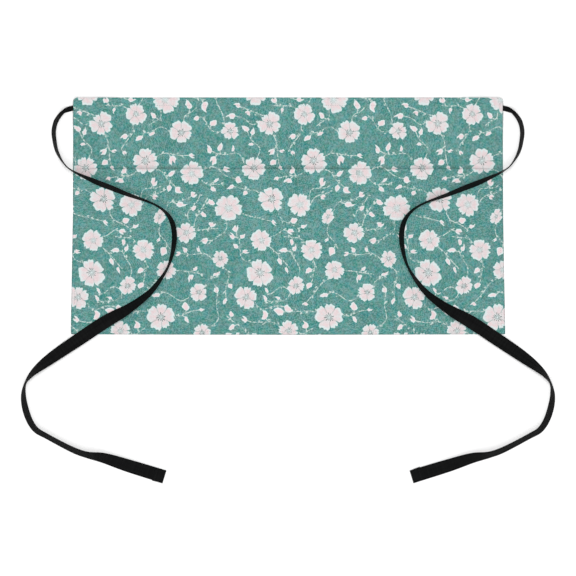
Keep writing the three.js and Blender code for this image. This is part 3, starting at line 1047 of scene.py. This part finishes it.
def draw_leaf(point, rank):
    """Masks of a leaf: its blade, its pink and its stalk."""
    along, aside, length, width, number = motif_frame(point, "leaf", rank)
    bend, wide, short = chances(number, number * 0.37)
    a = along / length
    up = a.within(0.0, 1.0)
    from_vine = (a + STALK).math("MAXIMUM", 0.0)
    b = aside / length - (bend - 0.5) * from_vine * from_vine * 0.7
    off_vein = b.math("ABSOLUTE")
    second = b.fade(-0.015, 0.015)
    up_half = (up / (1 - second * short.fade(0.3, 0.9) * 0.4)).math("MINIMUM", 1.0)
    teeth = (up * 15 + number).math("SINE") * (second * 0.07 + 0.04)
    fullness = width * 2.6 * ((second - 0.5) * (wide - 0.5) * 1.2 + 1) + teeth
    half = fullness * (up_half ** 0.6) * ((1 - up_half) ** 0.95)
    slit = (off_vein - (up - 0.4) * 0.5).fade(0.02, -0.03) * wide.fade(0.6, 0.65)
    blade = (off_vein - half).fade(0.0, -0.05) * (1 - slit)
    pink = (half - off_vein).fade(0.1, 0.24)
    stalk = off_vein.fade(0.08, 0.035) * a.fade(-STALK - 0.05, -STALK) * a.fade(0.2, 0.1)
    return blade, pink, stalk


print(f"a stalk is {STALK:.0%} as long as its leaf")

# %% Draw a vine
VINE_EDGE = (0.0009, 0.00034)
TWIG_PITCH = 0.0062
TWIG_LENGTH = 0.0050
TWIGS = 0.5


def draw_vine(point, rank):
    """Mask of a vine with its twigs."""
    along, aside, length, bow, number = motif_frame(point, "vine", rank)
    share = along / length
    sway = (share * TURN).math("SINE") * VINE_SWAY
    off_line = aside - bow * (share * 4 * (1 - share) + sway)
    line = off_line.math("ABSOLUTE").fade(*VINE_EDGE)
    node = (along / TWIG_PITCH).math("FLOOR")
    there, side, size = chances(node, number)
    ahead = along - (node + 0.2) * TWIG_PITCH
    beside = off_line * (side.fade(0.499, 0.501) * 2 - 1)
    twig = (size * 0.5 + 0.75) * TWIG_LENGTH
    up = ((ahead + beside) * math.sqrt(0.5) / twig).within(0.0, 1.0)
    off_twig = ((beside - ahead) * math.sqrt(0.5) / twig).math("ABSOLUTE")
    twigs = (off_twig - (up ** 0.7) * (1 - up) * 0.85).fade(0.0, -0.12) * there.fade(TWIGS + 0.01, TWIGS)
    return line.math("MAXIMUM", twigs) * share.fade(-0.01, 0.01) * share.fade(1.01, 0.99)


print(f"a vine has a twig at {TWIGS:.0%} of its nodes, {1000 * TWIG_PITCH:.1f} mm apart")

# %% The print group
# Scales of the noises, from clouds over the ground to single fibres, and how far a printed edge strays.
CLOUDS = 36.0
LEANS = 140.0
BLOTCHES = 150.0
BLUSHES = 170.0
GRAINS = 330.0
COVERS = 340.0
STRAYS = 420.0
FLECKS = 520.0
FIBRES = 780.0
STRAY = 0.0013

printed, (point,), printed_end = new_group(
    "blossom_print", {"Point": "NodeSocketVector"},
    {"Colour": "NodeSocketColor", "Motif": "NodeSocketFloat"})
stray = point.noise(STRAYS, 1.0, "Color").vector("SUBTRACT", (0.5, 0.5, 0.5))
drawn = point.vector("ADD", stray.vector("MULTIPLY", (STRAY, STRAY, STRAY)))
clouds, blotches, grain = point.noise(CLOUDS), point.noise(BLOTCHES), point.noise(GRAINS)
fibres = point.noise(FIBRES, 1.0)
mottle = (clouds * 0.3 + blotches * 0.25 + grain * 0.7 + fibres * 1.15 - 0.7).fade(0.27, 0.73)
lean, _, tint = point.noise(LEANS, 1.0, "Color").parts()
colour = lay(printed, "ShaderNodeHueSaturation", {
    "Hue": lean.fade(0.3, 0.7) * 0.03 + 0.485, "Saturation": tint.fade(0.3, 0.7) * 0.28 + 0.87,
    "Color": blend(mottle, GROUND_DARK, GROUND_LIGHT)})
colour = blend(point.noise(FLECKS, 1.0).fade(0.58, 0.72) * 0.4, colour, FLECK)
cover = point.noise(COVERS).fade(0.44, 0.56)
blush = point.noise(BLUSHES, 1.0).fade(0.38, 0.62)
motif = draw_vine(drawn, 0).math("MAXIMUM", draw_vine(drawn, 1)) * (cover * 0.85 + 0.15)
colour = blend(motif, colour, VINE_INK)
for rank in (1, 0):
    blade, pink, stalk = draw_leaf(drawn, rank)
    colour = blend(stalk * (cover * 0.5 + 0.5), colour, VINE_INK)
    colour = blend(blade, colour, blend(pink, PETAL_RIM, PETAL))
    motif = motif.math("MAXIMUM", blade)
whole, pink, line, stamens = draw_blossom(drawn)
petals = blend(line * 0.5, blend(pink * (blush * 0.4 + 0.6), PETAL_RIM, PETAL), PETAL_LINE)
petals = blend(fibres.fade(0.35, 0.65) * 0.14, petals, PETAL_LINE)
petals = blend(stamens, petals, STAMEN)
colour = blend(whole, colour, petals)
put_out(printed_end, Colour=colour, Motif=motif.math("MAXIMUM", whole))
print("print group of", len(printed.nodes), "nodes")

# %% [markdown]
# ## Materials
# The printed face shows the print over a fine weave. The reverse is the same cloth with the ink only
# showing through. The tape is a black weave, coarser than the cloth, and reads its own UV map so that its
# threads follow the tape. The thread is close to the ground colour of the print, and black on the tape.

# %% Cloth, reverse, tape and thread
CLOTH_THREADS = 0.0004
TAPE_THREADS = 0.0009
TWIST = 2600.0
REVERSE = ink(205, 216, 213)
TAPE_INKS = ink(12, 12, 13), ink(24, 25, 25)
TEAL_THREAD = ink(112, 152, 148), ink(146, 178, 174)
BLACK_THREAD = ink(16, 16, 17), ink(36, 37, 37)


def new_material(name, roughness, gloss, sheen):
    """A material with a Principled shader; returns it, its tree and the shader."""
    material = bpy.data.materials.new(name)
    material.use_nodes = True
    shader = material.node_tree.nodes["Principled BSDF"]
    shader.inputs["Roughness"].default_value = roughness
    shader.inputs["Specular IOR Level"].default_value = gloss
    shader.inputs["Sheen Weight"].default_value = sheen
    shader.inputs["Sheen Roughness"].default_value = 0.5
    return material, material.node_tree, shader


def finish_cloth(tree, shader, colour, height, depth):
    bump = lay(tree, "ShaderNodeBump", {"Height": height, "Distance": depth, "Strength": 1.0})
    tree.links.new(bump.socket, shader.inputs["Normal"])
    tree.links.new(colour.socket, shader.inputs["Base Color"])


def shaded(colour, shade, depth):
    """A colour made a little darker and lighter along its threads."""
    dark, light = (lay(shade.tree, "ShaderNodeHueSaturation", {"Color": colour, "Value": value})
                   for value in (1 - depth, 1 + depth))
    return blend(shade.fade(0.3, 0.7), dark, light)


def cloth_material(name, reverse):
    material, tree, shader = new_material(name, roughness=0.85, gloss=0.15, sheen=0.1)
    place = lay(tree, "ShaderNodeTexCoord", output="Object")
    colour, motif = use_group(tree, printed, ("Colour", "Motif"), Point=place)
    height, shade = use_group(tree, weave, ("Height", "Shade"), Point=place, Pitch=CLOTH_THREADS)
    if reverse:
        colour = blend(motif * 0.1 + 0.22, REVERSE, colour)
    finish_cloth(tree, shader, shaded(colour, shade, depth=0.035), height, depth=0.00007)
    return material


def tape_material():
    material, tree, shader = new_material("black_tape", roughness=0.75, gloss=0.06, sheen=0.0)
    uv = lay(tree, "ShaderNodeTexCoord", output="UV")
    place = uv.vector("MULTIPLY", (TAPE_WIDTH, float(tie_length), 0.0))
    height, shade = use_group(tree, weave, ("Height", "Shade"), Point=place, Pitch=TAPE_THREADS)
    finish_cloth(tree, shader, blend(shade.fade(0.25, 0.75), *TAPE_INKS), height, depth=0.00022)
    return material


def thread_material(name, inks):
    material, tree, shader = new_material(name, roughness=0.6, gloss=0.2, sheen=0.1)
    twist = lay(tree, "ShaderNodeTexCoord", output="Object").noise(TWIST, 1.0)
    finish_cloth(tree, shader, blend(twist.fade(0.3, 0.7), *inks), twist, depth=0.00008)
    return material


cloth_sides = cloth_material("printed_face", reverse=False), cloth_material("cloth_reverse", reverse=True)
tape_black = tape_material()
cloth_thread = thread_material("teal_thread", TEAL_THREAD)
tie_thread = thread_material("black_thread", BLACK_THREAD)
for sheet in (panel, pocket):
    sheet.data.materials[0], sheet.data.materials[1] = cloth_sides
for tie in (tie_left, tie_right):
    tie.data.materials[0] = tie.data.materials[1] = tape_black
for thread in (panel_thread, back_thread, pocket_thread):
    thread.data.materials.append(cloth_thread)
for thread in (left_thread, right_thread):
    thread.data.materials.append(tie_thread)
finished = (panel, tie_left, panel_thread, left_thread)
print("materials:", sorted({material.name for piece in finished for material in piece.data.materials}))

# %% [markdown]
# ## Floor and light
# The photograph has a white ground and soft light, with faint shadows of the tapes that fall upwards in the
# picture. A white floor, an even sky and two large lamps do that: a strong one overhead, and a weaker one
# towards the lower edge of the picture. The view transform is plain, so that the inks come out as mixed.

# %% Floor, sky and lamps
FLOOR_WIDTH = 8
FLOOR_TONES = (0.86, 0.86, 0.86, 1), (0.88, 0.88, 0.88, 1)
FLOOR_GRAIN = 3.0
SKY = 0.3
# Place, width and power of each lamp.
LAMPS = {"lamp_above": ((0.0, 0.25, 3.0), 1.0, 72.0), "lamp_below": ((0.0, -1.1, 2.7), 1.2, 24.0)}

bpy.ops.mesh.primitive_plane_add(size=FLOOR_WIDTH)
floor = bpy.context.object
floor.name = "table_top"
table, table_tree, table_shader = new_material("white_table", roughness=0.9, gloss=0.1, sheen=0.0)
table_grain = lay(table_tree, "ShaderNodeTexCoord", output="Object").noise(FLOOR_GRAIN, 1.0)
table_tree.links.new(blend(table_grain, *FLOOR_TONES).socket, table_shader.inputs["Base Color"])
floor.data.materials.append(table)

sky = bpy.data.worlds.new("even_sky")
bpy.context.scene.world = sky
sky.use_nodes = True
sky.node_tree.nodes["Background"].inputs["Color"].default_value = (1, 1, 1, 1)
sky.node_tree.nodes["Background"].inputs["Strength"].default_value = SKY

for name, (place, width, power) in LAMPS.items():
    bpy.ops.object.light_add(type="AREA", location=place, rotation=(math.atan2(-place[1], place[2]), 0, 0))
    lamp = bpy.context.object
    lamp.name = name
    lamp.data.energy = power
    lamp.data.size = width
bpy.context.scene.view_settings.view_transform = "Standard"
print("floor, sky and", len(LAMPS), "lamps in place")

# %% [markdown]
# ## The pieces and the frame
# Last, every piece is tied to the frame, and the solids that the pieces stand for are hidden.

# %% Tie the pieces to the frame
for piece in (panel, pocket, tie_left, tie_right, *sewn):
    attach(piece, "root")
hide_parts("panel")
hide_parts("pocket")
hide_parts("tie_left")
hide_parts("tie_right")
